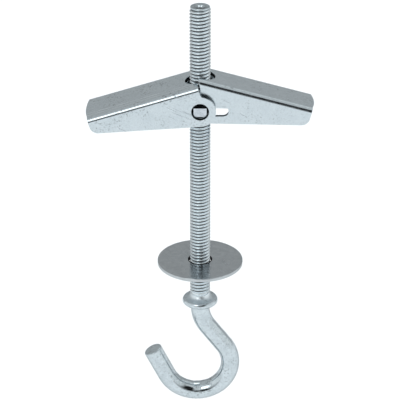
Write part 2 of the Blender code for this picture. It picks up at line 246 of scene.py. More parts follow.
def plated_steel(
    name, colour, dull, rough, rough_spread, ripple, grain, scratch=0.0, pits=0.0, painted_shade=None,
    mottle=0.0, edge=0.8, painted_highlight=None, satin=None,
):
    """Bright zinc plating: cloudy colour, patchy gloss, slow ripples, fine grain, scratches, pits.
    Ripple, grain, scratch and pits are depths in metres, and mottle is a strength. Edge is the tint
    at grazing angles. Painted highlight, painted shade and satin are functions of the graph that
    give where a highlight is painted, where shade is painted and how rough each place is."""
    g = Graph(name)
    g.shader.inputs["Metallic"].default_value = 1.0
    g.shader.inputs["Specular Tint"].default_value = (edge, edge, edge, 1.0)
    clouds = g.noise(CLOUD_SIZE, 5.0, 0.65, warp=0.8)
    tone = g.mix(g.remap(clouds, 0.30, 0.70, 0.0, 1.0), colour, dull)
    fine = g.noise(SPECK_SIZE, 3.0, 0.6)
    tone = g.mix(g.remap(fine, 0.52, 0.68, 0.0, mottle), tone, MOTTLE)
    gloss = g.remap(fine, 0.3, 0.7, rough - rough_spread, rough + rough_spread)
    normal = g.bump(g.noise(RIPPLE_SIZE, 2.0, 0.45), ripple)
    normal = g.bump(g.noise(GRAIN_SIZE, 3.0, 0.6), grain, normal)
    if scratch:
        streaks = g.noise(SCRATCH_SIZE, 2.0, 0.5, g.stretched(SCRATCH_TURN, SCRATCH_STRETCH))
        lines = g.remap(streaks, 0.62, 0.68, 0.0, 1.0)
        patches = g.remap(g.noise(SCRATCH_PATCH_SIZE, 2.0, 0.5), 0.48, 0.60, 0.0, 1.0)
        lines = g.math("MULTIPLY", lines, patches)
        normal = g.bump(lines, -scratch, normal)
        tone = g.mix(g.math("MULTIPLY", lines, 0.5), tone, MOTTLE)
        gloss = g.math("ADD", gloss, g.math("MULTIPLY", lines, SCRATCH_ROUGHNESS))
    if pits:
        specks = g.remap(g.noise(PIT_SIZE, 2.0, 0.7), 0.57, 0.64, 0.0, 1.0)
        where = g.remap(g.noise(PIT_PATCH_SIZE, 1.0, 0.5), 0.48, 0.60, 0.0, 1.0)
        specks = g.math("MULTIPLY", specks, where)
        normal = g.bump(specks, -pits, normal)
        tone = g.mix(g.math("MULTIPLY", specks, 0.6), tone, PIT)
    # Painted highlight: a brighter colour where the mask says.
    if painted_highlight:
        tone = g.mix(painted_highlight(g), tone, PAINTED_HIGHLIGHT_COLOUR)
    # Painted shade: a near-black, rougher colour where the mask says.
    if painted_shade:
        shade_amount = painted_shade(g)
        tone = g.mix(shade_amount, tone, PAINTED_SHADE_COLOUR)
        gloss = g.math("ADD", gloss, g.math("MULTIPLY", shade_amount, PAINTED_SHADE_ROUGHNESS))
    if satin:
        gloss = g.math("ADD", gloss, g.math("MULTIPLY", satin(g), SATIN_ROUGHNESS))
    g.link(tone, g.shader.inputs["Base Color"])
    g.link(gloss, g.shader.inputs["Roughness"])
    g.link(normal, g.shader.inputs["Normal"])
    return g.material


def axes_of(g):
    """The object's own X, Y and Z."""
    split = g.node("ShaderNodeSeparateXYZ")
    g.link(g.place, split.inputs["Vector"])
    return split.outputs["X"], split.outputs["Y"], split.outputs["Z"]


def radius_of(g):
    """The distance from the bolt's axis."""
    x, y, _ = axes_of(g)
    return g.math("SQRT", g.math("ADD", g.math("POWER", x, 2.0), g.math("POWER", y, 2.0)))


def below_bolt_end(g, z):
    low, high = UNPAINTED_END
    return g.remap(z, BOLT_TOP - low, BOLT_TOP - high, 1.0, 0.0)


def thread_root_painted_shade(g):
    """Painted shade in the thread's roots, above the neck and below the bolt's end."""
    _, _, z = axes_of(g)
    low, high = ROOT_SHADE_HEIGHT
    root = g.remap(radius_of(g), THREAD_ROOT_R + low, THREAD_ROOT_R + high, 0.85, 0.0)
    root = g.math("MULTIPLY", root, g.remap(z, THREAD_LOW, THREAD_LOW + 0.0006, 0.0, 1.0))
    return g.math("MULTIPLY", root, below_bolt_end(g, z))


def thread_painted_highlight(g):
    """A painted highlight: the thread is painted brighter than the wire below it."""
    _, _, z = axes_of(g)
    painted_highlight = g.remap(z, THREAD_LOW - 0.0005, THREAD_LOW + 0.0010, 0.0, 1.0)
    return g.math("MULTIPLY", painted_highlight, below_bolt_end(g, z))


def collar_satin(g):
    """The collar's fillet is less glossy than the rest of the bolt."""
    _, _, z = axes_of(g)
    top = COLLAR_NECK_BOTTOM
    low = top - 1.2 * COLLAR_FILLET_R
    above = g.remap(z, low, top - COLLAR_FILLET_R, 0.0, 1.0)
    return g.math("MULTIPLY", above, g.remap(z, top - 0.3 * COLLAR_FILLET_R, top, 1.0, 0.0))


def washer_hole_painted_shade(g):
    """Painted shadow: a dark edge round the hole."""
    inner, outer = WASHER_SHADE_WIDTH
    return g.remap(radius_of(g), WASHER_HOLE_R + inner, WASHER_HOLE_R + outer, 1.0, 0.0)


def nut_barrel_painted_shade(g):
    """Painted shade on the barrel, which sits inside the wings, with unpainted tabs."""
    _, y, _ = axes_of(g)
    return g.remap(g.math("ABSOLUTE", y), *NUT_SHADE_Y, 0.95, 0.0)


def hub_painted_shade(droop, web):
    """Painted shade inside the hub of a wing that droops towards +X: round the bolt and under the
    web.
    """

    def place(g):
        x, y, z = axes_of(g)
        near = g.remap(radius_of(g), *HUB_SHADE_R, 1.0, 0.0)
        inside = g.remap(g.math("ABSOLUTE", y), *HUB_SHADE_Y, 1.0, 0.0)
        height = g.math(
            "ADD",
            g.math("MULTIPLY", x, math.sin(droop)),
            g.math("MULTIPLY", g.math("SUBTRACT", z, PIVOT_Z), math.cos(droop)),
        )
        low, high = HUB_SHADE_UNDER_WEB
        below = g.remap(height, web - low, web - high, 1.0, 0.0)
        return g.math("MULTIPLY", g.math("MULTIPLY", near, inside), below)

    return place


# Mesh helpers


def arc(x, y, radius, start, end, steps):
    """Points along an arc, with both ends."""
    points = []
    for i in range(steps + 1):
        angle = start + (end - start) * i / steps
        points.append((x + radius * math.cos(angle), y + radius * math.sin(angle)))
    return points


def new_piece(name, mesh, material, sharp_angle=None):
    """An object with smooth shading, and sharp edges at folds above an angle in degrees."""
    obj = bpy.data.objects.new(name, mesh)
    bpy.context.scene.collection.objects.link(obj)
    obj.data.materials.append(material)
    obj.data.shade_smooth()
    if sharp_angle:
        obj.data.set_sharp_from_angle(angle=math.radians(sharp_angle))
    return obj


def cleaned_mesh(name, points, faces, merge=1e-7, thin=None):
    """A mesh with doubled points merged, thin faces dissolved and the faces turned outwards."""
    mesh = bpy.data.meshes.new(name)
    mesh.from_pydata(points, [], faces)
    body = bmesh.new()
    body.from_mesh(mesh)
    bmesh.ops.remove_doubles(body, verts=body.verts, dist=merge)
    if thin:
        bmesh.ops.dissolve_degenerate(body, edges=body.edges, dist=thin)
    bmesh.ops.recalc_face_normals(body, faces=body.faces)
    body.to_mesh(mesh)
    body.free()
    return mesh


def grid_mesh(name, rings):
    """A tube through rings of equally many points, with its ends filled."""
    count = len(rings[0])
    points = [p for ring in rings for p in ring]
    faces = []
    for i in range(len(rings) - 1):
        for j in range(count):
            k = (j + 1) % count
            faces.append(
                (i * count + j, i * count + k, (i + 1) * count + k, (i + 1) * count + j)
            )
    faces.append(tuple(reversed(range(count))))
    last = (len(rings) - 1) * count
    faces.append(tuple(range(last, last + count)))
    return cleaned_mesh(name, points, faces)


def ring_round(point, radius, side, across, sides):
    """A circle of points in the plane of two directions."""
    angles = [2.0 * math.pi * j / sides for j in range(sides)]
    return [point + radius * (math.cos(a) * side + math.sin(a) * across) for a in angles]


def swept(name, points, radius, sides):
    """A tube along a route of 3-D points."""
    rings = []
    side = None
    for i, point in enumerate(points):
        before = points[max(0, i - 1)]
        after = points[min(len(points) - 1, i + 1)]
        along = (after - before).normalized()
        if side is None:
            side = along.cross(Vector((0.0, 1.0, 0.0)))
            if side.length < 0.1:
                side = along.cross(Vector((0.0, 0.0, 1.0)))
        side = (side - along * side.dot(along)).normalized()
        rings.append(ring_round(point, radius, side, along.cross(side), sides))
    return grid_mesh(name, rings)


def join(name, meshes):
    """One mesh in place of several."""
    body = bmesh.new()
    for mesh in meshes:
        body.from_mesh(mesh)
    joined = bpy.data.meshes.new(name)
    body.to_mesh(joined)
    body.free()
    for mesh in meshes:
        bpy.data.meshes.remove(mesh)
    return joined


def lathe(name, profile, steps, closed=False):
    """A profile of (radius, height) points turned about Z."""
    rings = []
    for j in range(steps):
        angle = 2.0 * math.pi * j / steps
        rings.append([(r * math.cos(angle), r * math.sin(angle), z) for r, z in profile])
    count = len(profile)
    points = [p for ring in rings for p in ring]
    faces = []
    for j in range(steps):
        k = (j + 1) % steps
        for i in range(count if closed else count - 1):
            n = (i + 1) % count
            faces.append((j * count + i, j * count + n, k * count + n, k * count + i))
    return cleaned_mesh(name, points, faces, thin=1e-8)


# Hook bolt

THREAD_STEPS = 44
THREAD_SHARES = (
    0.0, 0.10, 0.18, 0.26, 0.34, 0.40, 0.45, 0.50, 0.55, 0.60, 0.66, 0.74, 0.82, 0.90, 1.0,
)
# Shares of the way from the root's middle to the crest's: the flat root and the flank.
ROOT_SHARE = 0.20
FLANK_SHARE = 0.66
# How straight the flank is: 1 is straight, and 0 is rounded at both ends.
FLANK_STRAIGHT = 0.55
# Place, size and depth of each dent in the bolt's end. A negative depth is a bump.
END_DENTS = (
    (0.00008, -0.00010, 0.00125, 0.00062),
    (-0.00005, 0.00090, 0.00034, -0.00010),
    (0.00070, -0.00080, 0.00034, 0.00006),
    (-0.00160, -0.00070, 0.00060, 0.00005),
)
END_SINK = 0.00001
FACE_TOLERANCE = 0.00001
# Waves of the marks that bending left inside the bowl: strength, and radians of the wave per
# metre of Y and per radian round the bowl.
BOWL_WAVES = ((1.0, 0.0, 11.0), (0.7, 0.0, 23.0), (0.6, 900.0, 9.0))
BOWL_MARK_DEPTH = 0.00003
HOOK_SIDES = 56


def tooth_radius(share):
    """The thread's radius at a share of its pitch: 0 is the root's middle and 0.5 the crest's."""
    rise = 1.0 - abs(2.0 * share - 1.0)
    full = min(1.0, max(0.0, (rise - ROOT_SHARE) / FLANK_SHARE))
    rounded = full * full * (3.0 - 2.0 * full)
    full = FLANK_STRAIGHT * full + (1.0 - FLANK_STRAIGHT) * rounded
    return THREAD_ROOT_R + (THREAD_CREST_R - THREAD_ROOT_R) * full


def thread_mesh():
    """The thread as one helical grid, run out at both ends."""
    top = BOLT_TOP - BOLT_END_LENGTH
    turns = round((top - THREAD_LOW) / THREAD_PITCH) + 2
    rings = []
    for k in range(THREAD_STEPS * turns + 1):
        angle = 2.0 * math.pi * k / THREAD_STEPS
        base = THREAD_LOW - THREAD_PITCH + THREAD_PITCH * k / THREAD_STEPS
        row = []
        for share in THREAD_SHARES:
            height = base + THREAD_PITCH * share
            limit = min(
                (height - THREAD_LOW) / THREAD_PITCH, (top - height) / (0.5 * THREAD_PITCH)
            )
            limit = max(0.0, min(1.0, limit))
            reach = THREAD_ROOT_R + (THREAD_CREST_R - THREAD_ROOT_R) * limit
            radius = min(tooth_radius(share % 1.0), reach)
            height = min(top, max(THREAD_LOW, height))
            row.append((radius * math.cos(angle), radius * math.sin(angle), height))
        rings.append(row)
    count = len(rings[0])
    points = [p for row in rings for p in row]
    faces = []
    for k in range(len(rings) - 1):
        for i in range(count - 1):
            a = k * count + i
            faces.append((a, a + count, a + count + 1, a + 1))
    return cleaned_mesh("thread", points, faces, merge=2e-7, thin=1e-8)


def bolt_end_mesh():
    """The sheared end above the thread, with a rounded edge and a dented face."""
    low = BOLT_TOP - BOLT_END_LENGTH - BOLT_END_OVERLAP
    round_r = BOLT_END_ROUND_R
    flat = BOLT_END_R - round_r
    profile = [(flat * share, BOLT_TOP) for share in np.linspace(0.0, 1.0, 22)]
    profile += arc(flat, BOLT_TOP - round_r, round_r, math.radians(80.0), 0.0, 6)
    profile += [(BOLT_END_R, low + BOLT_END_OVERLAP), (THREAD_ROOT_R, low), (0.0, low)]
    mesh = lathe("bolt_end", profile, 96)
    for vert in mesh.vertices:
        if vert.co.z > BOLT_TOP - FACE_TOLERANCE:
            drop = END_SINK
            for x, y, size, depth in END_DENTS:
                away = ((vert.co.x - x) ** 2 + (vert.co.y - y) ** 2) / (size * size)
                drop += depth * math.exp(-away)
            vert.co.z -= drop
    return mesh


def hook_route():
    """Points (x, z) down the neck, round the bowl and up the tip, and the tip's direction."""
    neck = Vector((NECK_BEND_R, NECK_START))
    bowl = Vector((BOWL_X, BOWL_Z))
    between = bowl - neck
    slant = math.atan2(between.y, between.x)
    lean = math.acos((NECK_BEND_R + BOWL_R) / between.length)
    leave_neck = 2.0 * math.pi + slant - lean
    join_bowl = leave_neck - math.pi
    leave_bowl = TIP_LEAN - math.pi
    route = arc(neck.x, neck.y, NECK_BEND_R, math.pi, leave_neck, 28)
    joined = arc(bowl.x, bowl.y, BOWL_R, join_bowl, leave_bowl, 96)
    leave = Vector(route[-1])
    gap = Vector(joined[0]) - leave
    for i in range(1, 6):
        route.append(tuple(leave + gap * i / 6.0))
    route += joined
    start = Vector(route[-1])
    way = Vector((-math.sin(TIP_LEAN), math.cos(TIP_LEAN)))
    for i in range(1, 25):
        route.append(tuple(start + way * (TIP_LENGTH - TIP_EDGE_R) * i / 24.0))
    return route, way


def collar_profile():
    """Points (radius, z) from inside the thread down to the wire under the collar."""
    fillet_x = COLLAR_NECK_R + COLLAR_FILLET_R
    fillet = arc(
        fillet_x, COLLAR_NECK_BOTTOM, COLLAR_FILLET_R, math.pi, math.pi + COLLAR_FILLET_SWEEP, 18
    )
    rim_r = COLLAR_R - COLLAR_RIM_R
    rim_z = fillet[-1][1] - COLLAR_RIM_R
    rim = arc(rim_r, rim_z, COLLAR_RIM_R, COLLAR_RIM_START, math.radians(-90.0), 18)
    underside = rim_z - COLLAR_RIM_R
    wire_top = underside - COLLAR_UNDERSIDE_DROP
    profile = [(THREAD_ROOT_R - 0.0001, THREAD_BOTTOM + THREAD_PITCH)]
    profile += [(THREAD_ROOT_R, THREAD_BOTTOM + 0.0002)]
    profile += fillet + rim
    profile += [(WIRE_R + COLLAR_UNDERSIDE_WIDTH, underside - COLLAR_UNDERSIDE_DIP)]
    for angle in np.linspace(0.0, 0.5 * math.pi, 8):
        radius = WIRE_R + UNDER_COLLAR_ROUND_X - UNDER_COLLAR_ROUND_X * math.sin(angle)
        profile.append((radius, wire_top + UNDER_COLLAR_ROUND_Z * math.cos(angle)))
    return profile, wire_top


def mark_bowl(mesh, top):
    """Shallow marks inside the bowl, from bending the wire."""
    phases = np.random.default_rng(11).uniform(0.0, 2.0 * math.pi, len(BOWL_WAVES))
    for vert in mesh.vertices:
        if vert.co.z > top:
            continue
        turn = math.atan2(vert.co.z - BOWL_Z, vert.co.x - BOWL_X)
        spread = math.hypot(vert.co.z - BOWL_Z, vert.co.x - BOWL_X)
        inside = max(0.0, min(1.0, (BOWL_R - spread) / WIRE_R))
        inside *= max(0.0, -math.sin(turn)) ** 2
        if inside > 0.0:
            wave = 0.0
            for (strength, along, around), phase in zip(BOWL_WAVES, phases):
                wave += strength * math.sin(along * vert.co.y + around * turn + phase)
            outward = Vector((math.cos(turn), 0.0, math.sin(turn)))
            vert.co += outward * inside * BOWL_MARK_DEPTH * wave


def hook_mesh():
    """Neck, collar and hook as one skin of rings along the centre line."""
    profile, wire_top = collar_profile()
    route, way = hook_route()
    route = [p for p in route if p[1] < profile[-1][1] - 0.0002]
    centre = [(0.0, 0.0, z) for _, z in profile] + [(x, 0.0, z) for x, z in route]
    radii = [r for r, _ in profile] + [WIRE_R] * len(route)
    end = Vector(route[-1])
    face_r = WIRE_R - TIP_EDGE_R
    for angle in np.linspace(0.0, 0.5 * math.pi, 7)[1:]:
        place = end + way * TIP_EDGE_R * math.sin(angle)
        centre.append((place.x, 0.0, place.y))
        radii.append(face_r + TIP_EDGE_R * math.cos(angle))
    flat = 0.0
    for share in (0.8, 0.5, 0.2):
        flat += 1e-6
        place = end + way * (TIP_EDGE_R + flat)
        centre.append((place.x, 0.0, place.y))
        radii.append(face_r * share)
    rings = []
    straight = len(profile)
    for i, place in enumerate(centre):
        if i < straight:
            along = Vector((0.0, 0.0, -1.0))
        elif i >= straight + len(route) - 1:
            along = Vector((way.x, 0.0, way.y))
        else:
            along = (Vector(centre[i + 1]) - Vector(centre[i - 1])).normalized()
        across = Vector((0.0, 1.0, 0.0))
        rings.append(ring_round(Vector(place), radii[i], along.cross(across), across, HOOK_SIDES))
    mesh = grid_mesh("hook", rings)
    mark_bowl(mesh, wire_top - 0.0008)
    return mesh


def hook_bolt():
    material = plated_steel(
        "zinc_bolt", (0.615, 0.678, 0.708), (0.52, 0.58, 0.61), rough=0.15, rough_spread=0.04,
        ripple=0.000005, grain=0.0000006, pits=0.00002, painted_shade=thread_root_painted_shade, mottle=0.5,
        edge=0.45, painted_highlight=thread_painted_highlight, satin=collar_satin,
    )
    mesh = join("bolt_skin", [thread_mesh(), bolt_end_mesh(), hook_mesh()])
    piece = new_piece("bolt_skin", mesh, material, 60.0)
    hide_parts("hook_bolt")
    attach(piece, "bolt")
    return piece


# Washer


def washer():
    edge = WASHER_EDGE_R
    low = -WASHER_THICKNESS
    roll = WASHER_HOLE_ROLL_R
    hole = WASHER_HOLE_R
    profile = [(r, 0.0) for r in np.linspace(hole + roll, WASHER_R - edge, 36)]
    profile += arc(WASHER_R - edge, -edge, edge, 0.5 * math.pi, 0.0, 5)
    profile += arc(WASHER_R - edge, low + edge, edge, 0.0, -0.5 * math.pi, 5)
    profile += [(r, low) for r in np.linspace(WASHER_R - edge, hole + edge, 8)][1:]
    profile += arc(hole + edge, low + edge, edge, -0.5 * math.pi, -math.pi, 4)
    profile += arc(hole + roll, -roll, roll, math.pi, 0.5 * math.pi, 5)[:-1]
    material = plated_steel(
        "zinc_washer", (0.50, 0.53, 0.548), (0.44, 0.468, 0.485), rough=0.17, rough_spread=0.06,
        ripple=0.000016, grain=0.0000016, scratch=0.000004, painted_shade=washer_hole_painted_shade, edge=0.5,
    )
    mesh = lathe("washer_skin", profile, 144, closed=True)
    piece = new_piece("washer_skin", mesh, material, 50.0)
    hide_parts("washer")
    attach(piece, "washer")
    return piece


# Wings


def prism(name, outline, half_depth, matrix):
    """A flat outline, thickened evenly to both sides of its plane."""
    body = bmesh.new()
    low = [body.verts.new((x, y, -half_depth)) for x, y in outline]
    high = [body.verts.new((x, y, half_depth)) for x, y in outline]
    count = len(outline)
    for i in range(count):
        j = (i + 1) % count
        body.faces.new((low[i], low[j], high[j], high[i]))
    body.faces.new(list(reversed(low)))
    body.faces.new(high)
    bmesh.ops.recalc_face_normals(body, faces=body.faces)
    mesh = bpy.data.meshes.new(name)
    body.to_mesh(mesh)
    body.free()
    obj = bpy.data.objects.new(name, mesh)
    bpy.context.scene.collection.objects.link(obj)
    obj.matrix_world = matrix
    return obj


def cylinder(name, radius, half_length, matrix, segments=64):
    last = 2.0 * math.pi * (segments - 1) / segments
    return prism(name, arc(0.0, 0.0, radius, 0.0, last, segments - 1), half_length, matrix)


def combine(obj, other, operation):
    """Adds the Boolean to the first object, and gives the other back for removal."""
    boolean = obj.modifiers.new(operation.lower(), "BOOLEAN")
    boolean.operation = operation
    boolean.object = other
    boolean.solver = "EXACT"
    return other


def carved(obj, cutters):
    """The mesh that the Boolean modifiers leave, in world coordinates. The cutters are removed."""
    bpy.context.view_layer.update()
    depsgraph = bpy.context.evaluated_depsgraph_get()
    mesh = bpy.data.meshes.new_from_object(obj.evaluated_get(depsgraph))
    mesh.transform(obj.matrix_world)
    for item in (obj, *cutters):
        bpy.data.objects.remove(item)
    body = bmesh.new()
    body.from_mesh(mesh)
    bmesh.ops.remove_doubles(body, verts=body.verts, dist=1e-6)
    bmesh.ops.dissolve_degenerate(body, edges=body.edges, dist=1e-6)
    bmesh.ops.dissolve_limit(
        body, angle_limit=math.radians(0.6), verts=body.verts, edges=body.edges
    )
    body.to_mesh(mesh)
    body.free()
    return mesh


def soften(piece, width):
    """Worn edges, and shading that keeps flat faces flat."""
    bevel = piece.modifiers.new("edges", "BEVEL")
    bevel.width = width
    bevel.segments = 2
    bevel.limit_method = "ANGLE"
    bevel.angle_limit = math.radians(38.0)
    bevel.use_clamp_overlap = True
    normals = piece.modifiers.new("normals", "WEIGHTED_NORMAL")
    normals.keep_sharp = True
    normals.weight = 100
    normals.thresh = 0.0001


def along_x(origin):
    """Turns a prism's depth along X, with its outline in Y and Z."""
    axes = Matrix(((0, 0, 1), (1, 0, 0), (0, 1, 0)))
    return Matrix.Translation(origin) @ axes.to_4x4()


def along_y(origin):
    """Turns a prism's depth along Y, with its outline in X and Z."""
    return Matrix.Translation(origin) @ Matrix.Rotation(math.radians(90.0), 4, "X")


def channel_section(half_width, web):
    """The bent sheet's outline in (y, z): the web with its two bends and both side plates."""
    bend_y = half_width - BEND_R
    bend_z = web - BEND_R
    inside_r = BEND_R - SHEET
    low = -2.0 * web
    outside = arc(-bend_y, bend_z, BEND_R, math.pi, 0.5 * math.pi, 14)
    outside += arc(bend_y, bend_z, BEND_R, 0.5 * math.pi, 0.0, 14)
    inside = arc(bend_y, bend_z, inside_r, 0.0, 0.5 * math.pi, 6)
    inside += arc(-bend_y, bend_z, inside_r, 0.5 * math.pi, math.pi, 6)
    section = [(-half_width, low)] + outside + [(half_width, low)]
    section += [(half_width - SHEET, low)] + inside + [(SHEET - half_width, low)]
    return section


def side_outline(shape):
    """A side plate's outline in (x, z), with the ear round the pivot at (0, 0)."""
    taper, web, length = shape["taper"], shape["web"], shape["length"]
    ear_r, corner_r = shape["ear_r"], shape["corner_r"]
    down = Vector((math.sin(taper), -math.cos(taper)))
    along = Vector((math.cos(taper), math.sin(taper)))
    drop = ear_r - corner_r
    corner = drop * down + (length - corner_r - drop * down.x) / along.x * along
    fillet_x = shape["end_low"] - shape["ear_fillet"]
    fillet_z = math.sqrt((ear_r + shape["ear_fillet"]) ** 2 - fillet_x**2)
    ear_start = math.atan2(fillet_z, fillet_x)
    outline = [
        (shape["end_top"], web + TRIM),
        (shape["end_top"], web),
        (shape["end_low"], web - shape["end_depth"]),
    ]
    outline += arc(fillet_x, fillet_z, shape["ear_fillet"], 0.0, ear_start - math.pi, 8)
    outline += arc(0.0, 0.0, ear_r, ear_start, taper + 1.5 * math.pi, 48)[1:]
    outline += arc(corner.x, corner.y, corner_r, taper - 0.5 * math.pi, 0.0, 16)
    outline += [(length + TRIM, corner.y), (length + TRIM, web + TRIM)]
    return outline


def plan_outline(shape):
    """The wing from above in (x, y), with its bulging tip."""
    side = shape["half_width"] + TRIM
    flat = shape["half_width"] - BEND_R
    radius = (flat**2 + TIP_BULGE**2) / (2.0 * TIP_BULGE)
    half_angle = math.asin(flat / radius)
    centre = shape["length"] + TIP_BULGE - radius
    back = -2.0 * shape["web"]
    outline = [(back, side), (back, -side), (shape["length"], -side)]
    outline += arc(centre, 0.0, radius, -half_angle, half_angle, 16)
    outline.append((shape["length"], side))
    return outline


def wing_mesh(name, shape, placing, more=()):
    """A channel trimmed to its side and plan outlines, with the pivot's hole and the notch."""
    half_width, web = shape["half_width"], shape["web"]
    section = channel_section(half_width, web)
    middle = (0.5 * shape["length"], 0.0, 0.0)
    body = prism(name, section, shape["length"], along_x(middle))
    body.data.transform(body.matrix_world)
    body.matrix_world = placing
    side = prism("side", side_outline(shape), 2.0 * half_width, placing @ along_y((0, 0, 0)))
    plan = prism("plan", plan_outline(shape), 3.0 * web, placing)
    hole = cylinder("hole", PIVOT_HOLE_R, 2.0 * half_width, along_y((0, 0, PIVOT_Z)))
    above = Matrix.Translation((0.0, 0.0, PIVOT_Z + web))
    notch = cylinder("notch", ROD_NOTCH_R, NOTCH_HALF_DEPTH, above, 72)
    cutters = [combine(body, side, "INTERSECT"), combine(body, plan, "INTERSECT")]
    cutters += [combine(body, hole, "DIFFERENCE"), combine(body, notch, "DIFFERENCE")]
    cutters += [combine(body, other, "DIFFERENCE") for other in more]
    return carved(body, cutters)


def painted_highlight_lines(g):
    """Two faint painted highlight lines along the web, in patches."""
    _, y, _ = axes_of(g)
    lines = []
    for distance, half_width, strength in HIGHLIGHT_LINES:
        away = g.math("ABSOLUTE", g.math("ADD", y, distance))
        lines.append(g.remap(away, HIGHLIGHT_LINE_CORE, half_width, strength, 0.0))
    patchy = g.remap(g.noise(0.0045, 2.0, 0.5), 0.40, 0.60, 0.35, 0.95)
    return g.math("MULTIPLY", g.math("MAXIMUM", *lines), patchy)


def wing_steel(name, painted_shade, painted_highlight=None):
    return plated_steel(
        name, (0.595, 0.655, 0.685), (0.55, 0.61, 0.642), rough=0.19, rough_spread=0.04,
        ripple=0.000005, grain=0.0000012, scratch=0.000008, pits=0.000006, painted_shade=painted_shade,
        mottle=0.25, painted_highlight=painted_highlight,
    )


def outer_wing():
    placing = Matrix.Translation((0.0, 0.0, PIVOT_Z))
    placing = placing @ Matrix.Rotation(-OUTER["droop"], 4, "Y") @ Matrix.Rotation(math.pi, 4, "Z")
    mesh = wing_mesh("outer_wing_skin", OUTER, placing)
    painted_shade = hub_painted_shade(-OUTER["droop"], OUTER["web"])
    material = wing_steel("zinc_outer_wing", painted_shade, painted_highlight_lines)
    piece = new_piece("outer_wing_skin", mesh, material, 30.0)
    soften(piece, WING_EDGE)
    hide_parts("outer_wing")
    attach(piece, "outer_wing")
    return piece


def inner_wing():
    placing = Matrix.Translation((0.0, 0.0, PIVOT_Z)) @ Matrix.Rotation(INNER["droop"], 4, "Y")
    end_x = SLOT_END - SLOT_HALF_HEIGHT
    quarter = 0.5 * math.pi
    end = arc(end_x, -SLOT_DROP, SLOT_HALF_HEIGHT, -quarter, quarter, 28)
    outline = [(0.0, -SLOT_DROP - SLOT_HALF_HEIGHT)] + end + [(0.0, SLOT_HALF_HEIGHT - SLOT_DROP)]
    slot = prism("slot", outline, 2.0 * INNER["half_width"], along_y((0.0, 0.0, PIVOT_Z)))
    mesh = wing_mesh("inner_wing_skin", INNER, placing, [slot])
    material = wing_steel("zinc_inner_wing", hub_painted_shade(INNER["droop"], INNER["web"]))
    piece = new_piece("inner_wing_skin", mesh, material, 30.0)
    soften(piece, WING_EDGE)
    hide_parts("inner_wing")
    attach(piece, "inner_wing")
    return piece


# Nut and spring


def trunnion_nut():
    """A barrel across the bolt with a stub and a flat-topped tab at each end."""
    corner_x = TAB_HALF_WIDTH - TAB_CORNER_R
    corner_z = TAB_BOTTOM + TAB_CORNER_R
    tab_shape = arc(-corner_x, corner_z, TAB_CORNER_R, math.pi, 1.5 * math.pi, 10)
    tab_shape += arc(corner_x, corner_z, TAB_CORNER_R, -0.5 * math.pi, 0.0, 10)
    tab_shape += [(TAB_HALF_WIDTH, TAB_TOP), (-TAB_HALF_WIDTH, TAB_TOP)]
    across = along_y((0.0, 0.0, PIVOT_Z))
    barrel = cylinder("barrel", NUT_R, NUT_HALF_LENGTH, across, 72)
    stub = cylinder("stub", STUB_R, STUB_HALF_LENGTH, across, 48)
    tab = prism("tab", tab_shape, TAB_HALF_LENGTH, across)
    bore = cylinder("bore", NUT_BORE_R, 2.0 * NUT_R, Matrix.Translation((0.0, 0.0, PIVOT_Z)), 64)
    cutters = [combine(barrel, stub, "UNION"), combine(barrel, tab, "UNION")]
    cutters.append(combine(barrel, bore, "DIFFERENCE"))
    material = plated_steel(
        "zinc_nut", (0.60, 0.64, 0.68), (0.46, 0.50, 0.54), rough=0.24, rough_spread=0.08,
        ripple=0.00003, grain=0.000006, pits=0.00002, painted_shade=nut_barrel_painted_shade,
    )
    piece = new_piece("nut_skin", carved(barrel, cutters), material, 30.0)
    soften(piece, NUT_EDGE)
    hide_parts("trunnion_nut")
    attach(piece, "toggle")
    return piece


def tangent_angle(x, z, side):
    """Where a straight wire from (x, z) touches the coil."""
    return math.atan2(z, x) + side * math.acos(SPRING_COIL_R / math.hypot(x, z))


def spring_steel():
    """Plain drawn wire, greyer and rougher than the plated parts."""
    g = Graph("spring_steel")
    g.shader.inputs["Metallic"].default_value = 1.0
    grain = g.noise(0.0004, 3.0, 0.6)
    tone = g.mix(grain, (0.34, 0.34, 0.35), (0.46, 0.46, 0.47))
    g.link(tone, g.shader.inputs["Base Color"])
    g.link(g.remap(grain, 0.3, 0.7, 0.24, 0.40), g.shader.inputs["Roughness"])
    g.link(g.bump(grain, 0.000003), g.shader.inputs["Normal"])
    return g.material


